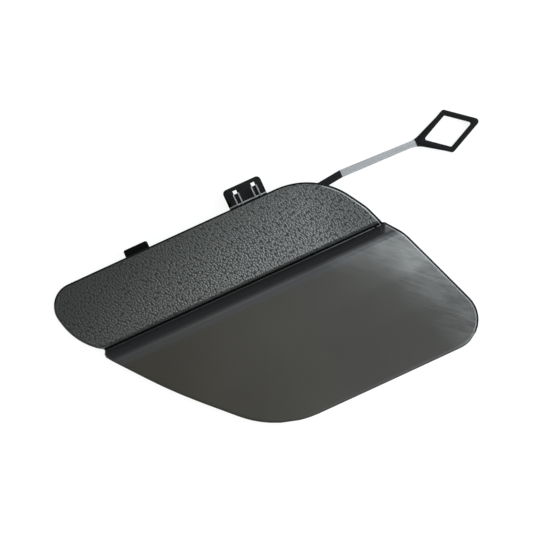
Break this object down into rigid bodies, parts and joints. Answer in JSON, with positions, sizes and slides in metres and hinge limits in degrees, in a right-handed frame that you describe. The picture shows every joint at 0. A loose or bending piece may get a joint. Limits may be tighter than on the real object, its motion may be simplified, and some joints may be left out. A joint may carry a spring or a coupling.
{
  "type": "bumper tow hook cover",
  "caption": "Moulded cover for a bumper's towing eye opening: grained band, groove, smooth panel, slotted hook tab, locating tab, and a strap ending in a diamond ring.",
  "frame": {"origin": "in the plane of the skirt's free edge, under the middle of the groove", "axes": "+X along the groove towards the strap, +Y from the panel towards the hook tab, +Z out of the face"},
  "size_m": [0.2126, 0.1101, 0.0176],
  "materials": {
    "moulding": "grained band, satin panel, as moulded back"
  },
  "bodies": {
    "root": {"cover": "moulding"}
  },
  "joints": []
}
